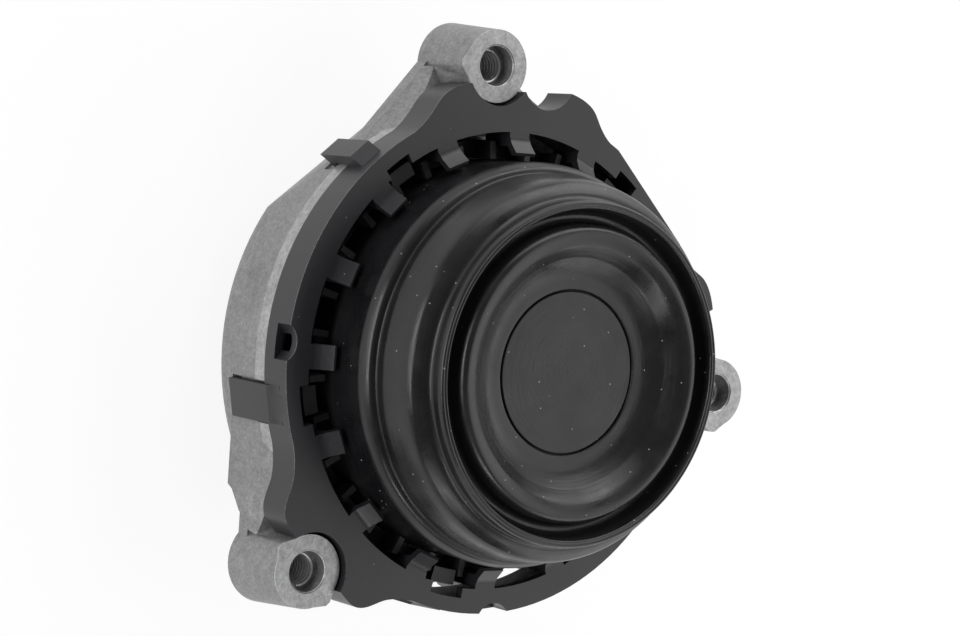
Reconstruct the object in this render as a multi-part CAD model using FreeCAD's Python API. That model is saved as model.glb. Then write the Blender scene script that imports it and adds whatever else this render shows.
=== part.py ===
"""Hydraulic engine mount: cast aluminium housing with three tapped lugs, plastic
retaining ring, rubber bellows, channel plates and bonded rubber spring with its core.

Millimetres. The axis of the mount is +Z, the bellows is on top, and the seating
face of the core lies at z = 0. One lug points along -X; the part is mirrored in y.
"""

import math
import os

import FreeCAD
import Part

V = FreeCAD.Vector

# Heights above the core's seating face
Z_LUG = 52.0
Z_RING_FACE = Z_LUG + 2.5
Z_RING_PLATE = Z_RING_FACE - 3.0
Z_CLIP_TOP = Z_LUG - 1.5
Z_RIM = Z_LUG - 9.7
Z_FLANGE_TOP = Z_LUG - 10.0
Z_BEAD_TOP = Z_LUG - 12.5
Z_RIM_BACK = Z_LUG - 15.4
Z_PLATE_TOP = Z_LUG - 16.0
Z_WEB_FRONT = Z_LUG - 16.0
Z_WEB_MIDDLE = Z_LUG - 19.0
Z_PLATE_SPLIT = Z_LUG - 20.0
Z_SUPPORT_TOP = Z_LUG - 24.0
Z_LUG_BACK = Z_LUG - 24.0
Z_DEEP_WEB_BACK = Z_LUG - 32.0
Z_BACK = Z_LUG - 41.0
Z_LEDGE = Z_BACK + 5.0

# Housing drum
RIM_R = 78.2
DRUM_R = RIM_R - 0.5
DRUM_R_BACK = RIM_R - 0.9
BORE_R = RIM_R - 4.0
BORE_R_BACK = RIM_R - 6.8
CATCH_R = RIM_R - 1.6
BACK_HOLE_R = 46.0

# Lugs
LUG_ANGLES = (180.0, 50.5, -50.5)
LUG_REACH = 12.5
LUG_CIRCLE_R = RIM_R + LUG_REACH
LUG_EARS = ((180.0, 84.0), (180.0, -84.0), (50.5, 84.0), (-50.5, -84.0))
LUG_R_FACE = 11.2
LUG_R_BACK = LUG_R_FACE + 1.9
LUG_SCALLOP_R = LUG_R_FACE + 1.0
WEB_INSET = 1.2
COUNTERBORE_R = 6.15
COUNTERBORE_DEPTH = 5.0
LUG_THREAD_R = COUNTERBORE_R - 1.15
LUG_THREAD_DEPTH = 15.0

# Retaining ring
RING_R = RIM_R + 0.2
RING_INNER_R = RING_R - 7.7
DEEP_WINDOW_R = RING_INNER_R + 3.1
SKIRT = 2.5
FINGER_COUNT = 16
FINGER_WIDTH = 7.4
FINGER_TIP_R = RING_INNER_R - 7.2
FINGER_TIP_RISE = 3.8
DEEP_WINDOWS = ((8.0, 6.8), (82.2, 7.2), (146.6, 9.4))
HOOK_ANGLES = (8.0, 81.0, 146.2)
RING_FLAT_X = RIM_R - 2.4
SIDE_CLIPS = (85.8, -85.8)
BACK_CLIPS = (146.1, -146.1)

# Clamp ring, channel plates, rubber and core
CLAMP_R = BORE_R - 6.4
CLAMP_INNER_R = CLAMP_R - 5.6
BELLOWS_R = CLAMP_R - 0.2
PLATE_R = BORE_R - 5.4
MEMBRANE_R = PLATE_R - 27.2
SUPPORT_R = BORE_R_BACK - 0.3
SPRING_R = SUPPORT_R - 3.1
CORE_R = 21.0
CORE_TOP = Z_SUPPORT_TOP - 7.5
CORE_THREAD_R = 6.0
CORE_THREAD_DEPTH = CORE_TOP - 3.5


def polar(radius, degrees, z=0.0):
    a = math.radians(degrees)
    return V(radius * math.cos(a), radius * math.sin(a), z)


def cylinder(radius, z0, z1, centre=V(0, 0, 0)):
    return Part.makeCylinder(radius, z1 - z0, V(centre.x, centre.y, z0))


def tube(inner, outer, z0, z1):
    return cylinder(outer, z0, z1).cut(cylinder(inner, z0 - 1, z1 + 1))


def turned(points):
    """A solid of revolution about Z from (r, z) points in order."""
    wire = Part.makePolygon([V(r, 0, z) for r, z in points + points[:1]])
    return Part.Face(wire).revolve(V(0, 0, 0), V(0, 0, 1), 360)


def prism(points, z0, z1):
    """A straight prism from (x, y) points in order."""
    wire = Part.makePolygon([V(p[0], p[1], z0) for p in list(points) + [points[0]]])
    return Part.Face(wire).extrude(V(0, 0, z1 - z0))


def sector(inner, outer, a0, a1, z0, z1, steps=3):
    """A block between two radii and two angles."""
    angles = [a0 + (a1 - a0) * i / steps for i in range(steps + 1)]
    far = [polar(outer / math.cos(math.radians((a1 - a0) / steps / 2)), a) for a in angles]
    near = [polar(inner, a) for a in reversed(angles)]
    return prism([(p.x, p.y) for p in far + near], z0, z1)


def radial_box(r0, r1, width, angle, z0, z1):
    """A box lying along a radius."""
    box = Part.makeBox(r1 - r0, width, z1 - z0, V(r0, -width / 2, z0))
    box.rotate(V(0, 0, 0), V(0, 0, 1), angle)
    return box


def bar(points, width, angle):
    """An (r, z) outline given a width and turned to its angle."""
    wire = Part.makePolygon([V(r, -width / 2, z) for r, z in points + points[:1]])
    solid = Part.Face(wire).extrude(V(0, width, 0))
    solid.rotate(V(0, 0, 0), V(0, 0, 1), angle)
    return solid


def merged(shapes):
    whole = shapes[0].fuse(list(shapes[1:]))
    return whole.removeSplitter()


def lug_centre(angle):
    return polar(LUG_CIRCLE_R, angle)


def hull_prism(angle, inset, z0, z1):
    """The tangent hull of the drum circle and one lug circle."""
    drum_r = RIM_R - 2.2 - inset
    lug_r = LUG_R_FACE - inset
    spread = math.degrees(math.acos((drum_r - lug_r) / LUG_CIRCLE_R))
    c = lug_centre(angle)
    corners = [V(0, 0, 0)]
    corners.append(polar(drum_r, angle + spread))
    corners.append(c + polar(lug_r, angle + spread))
    corners.append(c)
    corners.append(c + polar(lug_r, angle - spread))
    corners.append(polar(drum_r, angle - spread))
    return prism([(p.x, p.y) for p in corners], z0, z1)


# Half of a web's outline where its hollow side starts and at the rim: distance
# in from the lug circle, then distance to the side
WEB_MIDDLE = [(0.0, 14.3), (5.4, 19.8), (10.6, 25.1), (14.7, 29.3), (19.7, 34.4), (26.7, 41.5)]
WEB_FRONT = [(0.0, 8.0), (5.4, 13.8), (10.6, 20.3), (14.7, 25.5), (19.7, 31.6), (26.7, 40.5)]


def web_wire(points, angle, z):
    """The closed outline of a web at one height, from half of it."""
    edges = []
    for side in (1, -1):
        curve = Part.BSplineCurve()
        curve.interpolate([V(LUG_CIRCLE_R - d, side * s, z) for d, s in points])
        edges.append(curve.toShape())
    for d, s in (points[0], points[-1]):
        edges.append(Part.makeLine(V(LUG_CIRCLE_R - d, s, z), V(LUG_CIRCLE_R - d, -s, z)))
    wire = Part.Wire(Part.__sortEdges__(edges))
    wire.rotate(V(0, 0, 0), V(0, 0, 1), angle)
    return wire


def lug_web(angle):
    """The web between the drum and a lug; its front falls away towards the lug."""
    back = hull_prism(angle, WEB_INSET, Z_LUG_BACK, Z_WEB_MIDDLE)
    middle_wire = web_wire(WEB_MIDDLE, angle, Z_WEB_MIDDLE)
    front = Part.makeLoft([middle_wire, web_wire(WEB_FRONT, angle, Z_RIM)], True, True)
    slope = [
        (LUG_CIRCLE_R - 14.7, Z_RIM),
        (LUG_CIRCLE_R, Z_WEB_FRONT),
        (LUG_CIRCLE_R + 20.0, Z_WEB_FRONT),
        (LUG_CIRCLE_R + 20.0, Z_RIM + 1),
        (LUG_CIRCLE_R - 14.7, Z_RIM + 1),
    ]
    return back.fuse(front.cut(bar(slope, 100.0, angle)))


def lug_blank(angle):
    c = lug_centre(angle)
    height = Z_LUG - Z_LUG_BACK
    cone = Part.makeCone(LUG_R_BACK, LUG_R_FACE, height, V(c.x, c.y, Z_LUG_BACK))
    ears = [lug_ear(c, angle + side) for a, side in LUG_EARS if a == angle]
    return cone.fuse([lug_web(angle)] + ears)


def lug_ear(centre, direction, clear=0.0):
    """The corner where the flank of a lug leaves its round outline."""
    near = LUG_R_FACE - 0.1 + clear
    far = LUG_R_FACE + 1.6 + clear
    points = [centre]
    points.append(centre + polar(near, direction - 42.0))
    points.append(centre + polar(far, direction - 4.0))
    points.append(centre + polar(far, direction + 4.0))
    points.append(centre + polar(near, direction + 42.0))
    return prism([(p.x, p.y) for p in points], Z_LUG_BACK, Z_LUG + 5 * clear)


def lug_bore(angle):
    c = lug_centre(angle)
    mouth = Z_LUG - COUNTERBORE_DEPTH
    bore = cylinder(COUNTERBORE_R, mouth, Z_LUG + 1, c)
    lip = Part.makeCone(COUNTERBORE_R, COUNTERBORE_R + 0.5, 0.5, V(c.x, c.y, Z_LUG - 0.5))
    thread = cylinder(LUG_THREAD_R, mouth - LUG_THREAD_DEPTH, mouth + 0.1, c)
    tip = Part.makeCone(0.0, LUG_THREAD_R - 0.8, 2.2, V(c.x, c.y, mouth - LUG_THREAD_DEPTH - 2.2))
    return bore.fuse([lip, thread, tip])


DEEP_WEB_SIDE = [
    (BORE_R_BACK - 20.0, Z_BACK - 1),
    (LUG_CIRCLE_R - 8.4, Z_BACK - 1),
    (LUG_CIRCLE_R - 8.4, Z_BACK + 9.6),
    (LUG_CIRCLE_R - 7.5, Z_BACK + 11.6),
    (LUG_CIRCLE_R - 3.3, Z_BACK + 16.4),
    (LUG_CIRCLE_R - 3.3, Z_RIM),
    (BORE_R_BACK - 20.0, Z_RIM),
]
DRUM_FLAT = [
    (RIM_R - 2.5, Z_BACK + 17.0),
    (RIM_R + 12.0, Z_BACK + 17.0),
    (RIM_R + 12.0, Z_BACK - 6.0),
    (RIM_R - 10.2, Z_BACK - 6.0),
    (RIM_R - 6.8, Z_BACK),
    (RIM_R - 4.6, Z_BACK + 5.0),
    (RIM_R - 2.5, Z_BACK + 12.0),
]


def housing_casting():
    outer = [
        (0, Z_BACK),
        (DRUM_R_BACK - 6.5, Z_BACK),
        (DRUM_R_BACK - 4.0, Z_BACK + 0.5),
        (DRUM_R_BACK - 1.9, Z_BACK + 1.9),
        (DRUM_R_BACK - 0.5, Z_BACK + 4.0),
        (DRUM_R_BACK, Z_BACK + 6.5),
        (DRUM_R, Z_RIM_BACK - 0.8),
        (RIM_R, Z_RIM_BACK),
        (RIM_R, Z_RIM),
        (0, Z_RIM),
    ]
    body = merged([turned(outer)] + [lug_blank(a) for a in LUG_ANGLES])
    deep = hull_prism(180.0, WEB_INSET, Z_DEEP_WEB_BACK, Z_LUG_BACK + 0.5)
    body = merged([body, deep.common(bar(DEEP_WEB_SIDE, 200.0, 180.0))])
    for a in SIDE_CLIPS:
        shoulder = math.copysign(84.0, a)
        body = body.cut(bar(DRUM_FLAT, 60.0, shoulder))
        body = body.cut(radial_box(CATCH_R, RIM_R + 12.0, 11.0, a, Z_RIM_BACK - 6.1, Z_RIM_BACK))
    for a in BACK_CLIPS:
        body = body.cut(radial_box(CATCH_R - 0.1, RIM_R + 12.0, 13.1, a, Z_RIM_BACK - 14.0, Z_RIM + 1))
        body = body.cut(radial_box(CATCH_R - 1.0, RIM_R, 13.1, a, Z_RIM_BACK - 13.8, Z_RIM_BACK - 9.9))
    inside = [
        (0, Z_LEDGE),
        (BORE_R_BACK, Z_LEDGE),
        (BORE_R_BACK, Z_SUPPORT_TOP - 0.8),
        (BORE_R, Z_SUPPORT_TOP + 1.0),
        (BORE_R, Z_RIM - 4.0),
        (BORE_R + 1.2, Z_RIM + 1),
        (0, Z_RIM + 1),
    ]
    body = body.cut(turned(inside))
    opening = [
        (0, Z_BACK - 1),
        (BACK_HOLE_R + 3.0, Z_BACK - 1),
        (BACK_HOLE_R + 1.2, Z_BACK + 0.8),
        (BACK_HOLE_R, Z_BACK + 2.6),
        (BACK_HOLE_R, Z_LEDGE + 1),
        (0, Z_LEDGE + 1),
    ]
    body = body.cut(turned(opening))
    # Two drain openings through the wall on the low side
    near = BORE_R_BACK - 0.8
    far = RIM_R + 7.8
    body = body.cut(sector(near, far, -138.0, -127.0, Z_BACK + 3.0, Z_BACK + 18.0))
    body = body.cut(sector(near, far, -120.0, -109.0, Z_BACK + 10.5, Z_BACK + 23.0))
    for a in LUG_ANGLES:
        body = body.cut(lug_bore(a))
    return body.removeSplitter()


def lobe(points, inset, z0, z1):
    """Part of the ring outline standing out past the round.

    Each point is a share of the lug's reach and an angle.
    """
    outer = [(RING_R + share * LUG_REACH - inset, a) for share, a in points]
    inner = RING_INNER_R - 4.7
    curve = Part.BSplineCurve()
    curve.interpolate([polar(r, a, z0) for r, a in outer])
    first = polar(outer[0][0], outer[0][1], z0)
    last = polar(outer[-1][0], outer[-1][1], z0)
    back = [last, polar(inner, outer[-1][1], z0), polar(inner, outer[0][1], z0), first]
    edges = [curve.toShape()] + [Part.makeLine(back[i], back[i + 1]) for i in range(3)]
    return Part.Face(Part.Wire(edges)).extrude(V(0, 0, z1 - z0))


SIDE_LOBE = [
    (-0.008, 17.0),
    (0.064, 19.8),
    (0.240, 22.6),
    (0.448, 25.0),
    (0.584, 28.6),
    (0.616, 32.0),
    (0.560, 38.0),
    (0.464, 44.0),
    (0.544, 52.0),
    (0.656, 58.6),
    (0.632, 62.4),
    (0.528, 65.3),
    (0.272, 68.7),
    (0.064, 72.5),
    (-0.008, 77.0),
]
BACK_LOBE = [
    (-0.008, 154.0),
    (0.096, 158.6),
    (0.312, 162.2),
    (0.688, 165.4),
    (0.832, 167.6),
    (0.816, 171.0),
    (0.728, 180.0),
    (0.816, 189.0),
    (0.832, 192.4),
    (0.688, 194.6),
    (0.312, 197.8),
    (0.096, 201.4),
    (-0.008, 206.0),
]


def ring_outline(inset, z0, z1):
    left = [(r, -a) for r, a in reversed(SIDE_LOBE)]
    body = cylinder(RING_R - inset, z0, z1)
    for points in (SIDE_LOBE, left, BACK_LOBE):
        body = body.fuse(lobe(points, inset, z0, z1))
    for a in LUG_ANGLES:
        body = body.cut(cylinder(LUG_SCALLOP_R + inset, z0 - 1, z1 + 1, lug_centre(a)))
    for a, side in LUG_EARS:
        body = body.cut(lug_ear(lug_centre(a), a + side, inset + 0.8))
    for a in (38.6, -38.6):
        body = body.cut(cylinder(9.9 + inset, z0 - 1, z1 + 1, polar(RIM_R + 10.4, a)))
    flat = RING_FLAT_X - inset
    return body.cut(Part.makeBox(20, 44, z1 - z0 + 2, V(flat, -22, z0 - 1)))


def finger(angle):
    """One tongue that rises from the plate towards the bellows."""
    top = Z_RING_FACE
    rise = FINGER_TIP_RISE
    profile = [
        (RING_INNER_R + 1.0, top - 3.0),
        (RING_INNER_R + 1.0, top),
        (RING_INNER_R - 1.4, top),
        (RING_INNER_R - 3.6, top + rise * 0.30),
        (FINGER_TIP_R + 0.9, top + rise),
        (FINGER_TIP_R, top + rise - 0.4),
        (FINGER_TIP_R, top + rise - 2.2),
        (RING_INNER_R - 4.5, top - 0.9),
        (RING_INNER_R - 4.5, Z_FLANGE_TOP),
        (RING_INNER_R - 0.6, Z_FLANGE_TOP),
        (RING_INNER_R - 0.6, top - 3.0),
    ]
    return bar(profile, FINGER_WIDTH, angle)


# Arms down the outside of the drum, each with a nose that snaps under a catch
SIDE_CLIP = [
    (RIM_R - 1.8, Z_CLIP_TOP),
    (RIM_R - 1.8, Z_RIM),
    (RIM_R + 0.5, Z_RIM),
    (RIM_R + 0.5, Z_RIM_BACK - 0.4),
    (RIM_R - 1.2, Z_RIM_BACK - 0.6),
    (RIM_R - 1.2, Z_RIM_BACK - 2.0),
    (RIM_R + 0.5, Z_RIM_BACK - 3.4),
    (RIM_R + 3.6, Z_RIM_BACK - 6.2),
    (RIM_R + 3.6, Z_CLIP_TOP - 3.7),
    (RIM_R - 0.2, Z_CLIP_TOP),
]
BACK_CLIP = [
    (RIM_R - 1.8, Z_CLIP_TOP),
    (RIM_R - 1.8, Z_RIM),
    (RIM_R - 1.3, Z_RIM),
    (RIM_R - 1.3, Z_RIM_BACK - 10.3),
    (RIM_R - 2.3, Z_RIM_BACK - 10.5),
    (RIM_R - 2.3, Z_RIM_BACK - 12.2),
    (RIM_R - 1.3, Z_RIM_BACK - 13.2),
    (RIM_R + 0.9, Z_RIM_BACK - 13.2),
    (RIM_R + 0.9, Z_CLIP_TOP - 5.9),
    (RIM_R + 0.1, Z_CLIP_TOP - 4.5),
    (RIM_R + 0.1, Z_CLIP_TOP),
]


def retaining_ring():
    body = ring_outline(0.0, Z_RIM, Z_RING_FACE)
    body = body.cut(ring_outline(SKIRT, Z_RIM - 1, Z_RING_PLATE))
    body = body.cut(cylinder(RING_INNER_R, Z_RIM - 2, Z_RING_FACE + 1))
    pitch = 360.0 / FINGER_COUNT
    for centre, width in DEEP_WINDOWS:
        for c in (centre, -centre):
            half = width / 2
            window = sector(RING_INNER_R - 1.7, DEEP_WINDOW_R, c - half, c + half, Z_RIM, Z_RING_FACE + 1)
            body = body.cut(window)
    for a in (132.2, -132.2):
        body = body.cut(cylinder(6.3, Z_RING_FACE - 7.0, Z_RING_FACE + 1, polar(RIM_R + 3.4, a)))
    fingers = [finger(i * pitch) for i in range(FINGER_COUNT)]
    clips = [bar(SIDE_CLIP, 8.0, a) for a in SIDE_CLIPS] + [bar(BACK_CLIP, 11.7, a) for a in BACK_CLIPS]
    return merged([body] + fingers + clips)


def clamp_ring():
    body = tube(CLAMP_INNER_R, CLAMP_R, Z_BEAD_TOP, Z_FLANGE_TOP)
    parts = [body]
    pitch = 360.0 / FINGER_COUNT
    for i in range(FINGER_COUNT):
        centre = (i + 0.5) * pitch
        for side in (-5.3, 5.3):
            z0 = Z_FLANGE_TOP - 1
            parts.append(radial_box(CLAMP_INNER_R + 0.1, CLAMP_R - 0.1, 2.0, centre + side, z0, Z_CLIP_TOP))
    for a in HOOK_ANGLES:
        for c in (a, -a):
            a0 = c - 3.6
            a1 = c + 3.6
            nose = sector(CLAMP_R - 2.0, CLAMP_R + 2.6, a0, a1, Z_FLANGE_TOP + 5.5, Z_FLANGE_TOP + 8.5)
            stem = sector(CLAMP_R - 2.0, CLAMP_R - 0.2, a0, a1, Z_FLANGE_TOP - 1, Z_FLANGE_TOP + 6)
            parts += [nose, stem]
    return merged(parts)


# Distances in from the edge of the bellows' flange, heights above the lug face
BELLOWS_OUTSIDE = [
    (43.4, 35.0),
    (43.2, 34.5),
    (42.8, 34.5),
    (42.6, 35.2),
    (39.1, 36.0),
    (35.0, 37.2),
    (32.4, 38.0),
    (30.0, 39.8),
    (28.0, 42.0),
    (26.4, 43.2),
    (25.0, 43.1),
    (23.9, 41.4),
    (23.0, 38.2),
    (21.6, 36.4),
    (19.8, 36.4),
    (18.9, 37.8),
    (18.5, 40.2),
    (18.3, 42.8),
    (17.8, 43.3),
    (17.1, 43.3),
    (16.7, 42.7),
    (16.1, 40.4),
    (15.2, 39.5),
    (14.1, 39.2),
    (11.6, 36.9),
    (9.9, 34.4),
    (8.7, 31.2),
    (8.3, 27.5),
    (8.9, 22.6),
    (10.2, 18.6),
    (9.8, 16.6),
    (8.6, 16.8),
    (7.4, 18.8),
    (6.2, 19.8),
    (4.8, 19.2),
    (4.1, 17.4),
    (4.7, 14.6),
    (5.7, 12.0),
    (5.9, 2.0),
    (5.7, -12.5),
    (0.0, -12.5),
    (0.0, -16.0),
]
BELLOWS_INSIDE = [
    (9.8, -16.0),
    (8.3, -13.0),
    (8.3, 10.6),
    (9.0, 13.2),
    (11.4, 14.0),
    (12.7, 16.6),
    (12.4, 20.0),
    (11.0, 24.4),
    (10.6, 28.0),
    (11.2, 31.6),
    (13.0, 34.8),
    (15.4, 36.9),
    (17.0, 35.2),
    (19.0, 33.9),
    (22.4, 33.9),
    (24.6, 35.6),
    (25.8, 39.4),
    (27.2, 39.2),
    (30.0, 36.6),
    (32.6, 35.2),
    (39.1, 33.2),
    (43.6, 32.4),
]


def bellows():
    points = [(0.0, Z_LUG + 35.0)]
    points += [(BELLOWS_R - d, Z_LUG + h) for d, h in BELLOWS_OUTSIDE + BELLOWS_INSIDE]
    points += [(0.0, Z_LUG + 32.4)]
    return turned(points).cut(bead_ring())


def bead_ring():
    return tube(BELLOWS_R - 7.0, BELLOWS_R - 1.0, Z_BEAD_TOP - 2.7, Z_BEAD_TOP - 0.9)


def grid_holes(z0, z1):
    holes = [cylinder(4.0, z0, z1)]
    for count, radius in ((6, MEMBRANE_R - 27.6), (12, MEMBRANE_R - 14.6)):
        for i in range(count):
            holes.append(cylinder(4.0, z0, z1, polar(radius, (i + 0.5) * 360.0 / count)))
    return holes


def channel_plate_lower():
    body = cylinder(PLATE_R, Z_SUPPORT_TOP, Z_PLATE_SPLIT)
    body = body.cut(cylinder(MEMBRANE_R + 0.4, Z_PLATE_SPLIT - 1.8, Z_PLATE_SPLIT + 1))
    track = tube(PLATE_R - 18.8, PLATE_R - 10.8, Z_PLATE_SPLIT - 2.2, Z_PLATE_SPLIT + 1)
    wall = radial_box(PLATE_R - 20.8, PLATE_R - 8.8, 6.0, 0.0, Z_PLATE_SPLIT - 3, Z_PLATE_SPLIT + 1)
    port = radial_box(PLATE_R - 18.3, PLATE_R - 11.3, 8.0, 9.0, Z_SUPPORT_TOP - 1, Z_PLATE_SPLIT)
    cuts = [track.cut(wall), port] + grid_holes(Z_SUPPORT_TOP - 1, Z_PLATE_SPLIT + 1)
    return body.cut(cuts)


def channel_plate_upper():
    body = cylinder(PLATE_R, Z_PLATE_SPLIT, Z_PLATE_TOP)
    body = body.cut(cylinder(MEMBRANE_R + 0.4, Z_PLATE_SPLIT - 1, Z_PLATE_SPLIT + 1.6))
    port = radial_box(PLATE_R - 18.3, PLATE_R - 11.3, 8.0, -9.0, Z_PLATE_SPLIT - 1, Z_PLATE_TOP + 1)
    return body.cut([port] + grid_holes(Z_PLATE_SPLIT - 1, Z_PLATE_TOP + 1))


def decoupler_membrane():
    z0 = Z_PLATE_SPLIT - 1.8
    body = cylinder(MEMBRANE_R, z0, z0 + 2.4)
    rim = tube(MEMBRANE_R - 3.0, MEMBRANE_R, z0, z0 + 3.3)
    bead_radii = (MEMBRANE_R - 31.6, MEMBRANE_R - 8.1)
    beads = [tube(r - 0.7, r + 0.7, z0 + 2.2, z0 + 3.0) for r in bead_radii]
    return merged([body, rim] + beads)


def support_ring():
    profile = [
        (SPRING_R, Z_LEDGE),
        (SUPPORT_R, Z_LEDGE),
        (SUPPORT_R, Z_LEDGE + 2.5),
        (SUPPORT_R - 0.9, Z_LEDGE + 4.0),
        (SUPPORT_R - 0.9, Z_SUPPORT_TOP),
        (SPRING_R - 2.0, Z_SUPPORT_TOP),
        (SPRING_R - 2.0, Z_SUPPORT_TOP - 2.2),
        (SPRING_R, Z_SUPPORT_TOP - 3.4),
    ]
    return turned(profile)


CORE_SIDE = [
    (CORE_R - 1.0, 0.0),
    (CORE_R, 1.0),
    (CORE_R, 6.5),
    (CORE_R - 0.8, 8.5),
    (CORE_R - 4.0, CORE_TOP - 1.5),
    (CORE_R - 5.4, CORE_TOP),
]


def core():
    body = turned([(0.0, 0.0)] + CORE_SIDE + [(0.0, CORE_TOP)])
    thread = cylinder(CORE_THREAD_R, -1, CORE_THREAD_DEPTH)
    dowel = cylinder(3.0, -1, 8.0, V(0, CORE_R - 7.0, 0))
    return body.cut([thread, dowel])


def rubber_spring():
    points = [(r, z) for r, z in CORE_SIDE[2:]]
    points += [(0.0, CORE_TOP), (0.0, CORE_TOP + 2.9), (CORE_R - 8.0, CORE_TOP + 2.9)]
    points += [(CORE_R - 2.4, CORE_TOP + 1.9), (CORE_R + 5.0, CORE_TOP + 0.5)]
    points += [(BACK_HOLE_R - 8.0, Z_SUPPORT_TOP - 5.6), (SPRING_R - 12.0, Z_SUPPORT_TOP - 3.0)]
    points += [(SPRING_R - 2.0, Z_SUPPORT_TOP - 2.2), (SPRING_R, Z_SUPPORT_TOP - 3.4)]
    points += [(SPRING_R, Z_LEDGE), (SPRING_R - 8.0, Z_LEDGE + 0.8)]
    points += [(BACK_HOLE_R + 2.0, Z_LEDGE + 0.6), (BACK_HOLE_R - 2.0, Z_LEDGE - 0.4)]
    points += [(CORE_R + 11.0, Z_BACK - 0.4), (CORE_R + 3.0, 6.9)]
    return turned(points)


NODES = {
    "housing_casting": housing_casting,
    "retaining_ring": retaining_ring,
    "clamp_ring": clamp_ring,
    "bellows": bellows,
    "bead_ring": bead_ring,
    "channel_plate_upper": channel_plate_upper,
    "channel_plate_lower": channel_plate_lower,
    "decoupler_membrane": decoupler_membrane,
    "support_ring": support_ring,
    "rubber_spring": rubber_spring,
    "core": core,
}


def main():
    os.makedirs("parts", exist_ok=True)
    for name, build in NODES.items():
        shape = build()
        if shape.ShapeType == "Compound" and len(shape.Solids) == 1:
            shape = shape.Solids[0]
        b = shape.BoundBox
        print(
            name,
            "solids", len(shape.Solids),
            "valid", shape.isValid(),
            "cm3 %.1f" % (shape.Volume / 1000),
            "x %.1f %.1f y %.1f %.1f z %.1f %.1f" % (b.XMin, b.XMax, b.YMin, b.YMax, b.ZMin, b.ZMax),
        )
        shape.exportStep("parts/%s.step" % name)


main()
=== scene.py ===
"""Looks of a hydraulic engine mount: a cast aluminium housing with three tapped lugs, a
plastic retaining ring, a rubber bellows, and the plates, spring and core inside."""

import math

import bmesh
import bpy
from bpy.props import FloatProperty, FloatVectorProperty, IntProperty, PointerProperty
from mathutils import Matrix, Vector


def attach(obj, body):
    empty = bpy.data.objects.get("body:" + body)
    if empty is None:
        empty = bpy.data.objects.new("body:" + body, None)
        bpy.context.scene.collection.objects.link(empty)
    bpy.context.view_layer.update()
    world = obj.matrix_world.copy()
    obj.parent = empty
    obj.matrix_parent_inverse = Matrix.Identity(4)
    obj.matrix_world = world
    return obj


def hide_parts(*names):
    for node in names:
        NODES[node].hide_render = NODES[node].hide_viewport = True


bl_info = {
    "name": "Hydraulic engine mount",
    "version": (1, 0, 0),
    "blender": (4, 5, 0),
    "location": "View3D > Sidebar > Engine mount",
    "description": "Finishes and fine shapes of a hydraulic engine mount",
    "category": "Object",
}

MM = 0.001
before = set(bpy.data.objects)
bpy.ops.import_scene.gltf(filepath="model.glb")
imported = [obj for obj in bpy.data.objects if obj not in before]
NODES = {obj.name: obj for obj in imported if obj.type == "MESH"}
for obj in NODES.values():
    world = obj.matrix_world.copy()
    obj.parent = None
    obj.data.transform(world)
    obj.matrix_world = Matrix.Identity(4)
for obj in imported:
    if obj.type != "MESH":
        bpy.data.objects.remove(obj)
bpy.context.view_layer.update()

# Height of the lug faces in the frame, in millimetres
LUG_HEIGHT = 52.0

# Outline of the bellows, (radius, height above the lug faces) in millimetres: outside, from
# the middle of its top to the foot, and inside, from the foot back to the middle
BELLOWS_OUTSIDE = (
    (0.0, 35.0), (8.0, 35.0), (16.0, 35.0), (22.6, 35.0), (24.0, 35.0), (24.2, 34.9),
    (24.35, 34.4), (24.6, 34.0), (24.85, 34.4), (25.0, 34.95), (25.4, 35.15), (28.0, 35.35),
    (30.0, 35.8), (32.0, 36.7), (33.6, 37.6), (34.6, 38.2), (35.3, 38.9), (36.8, 40.4),
    (38.3, 41.7), (40.0, 42.5), (41.6, 43.0), (42.8, 43.0), (43.7, 42.5), (44.3, 41.6),
    (44.6, 40.4), (44.8, 38.6), (45.2, 37.2), (46.0, 36.5), (47.2, 36.4), (48.2, 37.1),
    (48.8, 38.4), (49.1, 40.2), (49.3, 42.2), (49.6, 43.0), (50.1, 43.2), (50.6, 43.0),
    (51.1, 43.15), (51.6, 42.8), (51.9, 41.8), (51.8, 40.2), (51.7, 38.9), (52.0, 38.0),
    (52.6, 37.45), (53.6, 37.1), (54.8, 36.5), (56.0, 35.6), (56.6, 35.05), (57.0, 34.5),
    (57.5, 33.5), (57.9, 32.1), (58.3, 30.0), (58.65, 27.5), (58.95, 25.4), (59.1, 24.0),
    (59.0, 23.1), (58.8, 22.2), (58.6, 21.2), (58.55, 20.5), (58.7, 20.0), (59.0, 19.75),
    (59.6, 19.6), (60.2, 19.4), (60.7, 19.0), (61.2, 18.2), (61.65, 17.3), (61.95, 16.4),
    (62.1, 15.2), (61.9, 12.4), (61.7, 2.0), (61.7, -6.0), (61.8, -12.0), (62.4, -12.4),
    (66.9, -12.4), (67.5, -12.9), (67.5, -15.4), (67.0, -15.9),
)
BELLOWS_INSIDE = (
    (58.6, -15.9), (59.2, -13.0), (59.3, 0.0), (59.3, 10.6), (58.6, 13.2), (56.4, 14.6),
    (55.2, 16.8), (55.1, 20.0), (55.7, 24.4), (56.1, 27.8), (55.6, 30.8), (54.4, 33.4),
    (52.0, 34.9), (50.6, 34.4), (48.6, 34.0), (45.2, 34.0), (43.2, 35.4), (42.4, 38.6),
    (40.8, 39.6), (38.2, 37.4), (35.0, 35.4), (28.5, 33.4), (24.0, 32.6), (12.0, 32.5),
    (0.0, 32.5),
)

# Faces once round the bellows, faces between two points of its outline, and radius of the
# circle that the outline is turned on, which has to be wider than the bellows
BELLOWS_FACETS = 224
BELLOWS_STEPS = 3
PATH_RADIUS = 100.0 * MM

# Lugs: angle of each about the axis in degrees, and radius in millimetres of the circle
# that their bores stand on
LUG_ANGLES = (180.0, 50.5, -50.5)
LUG_CIRCLE = 90.7

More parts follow.
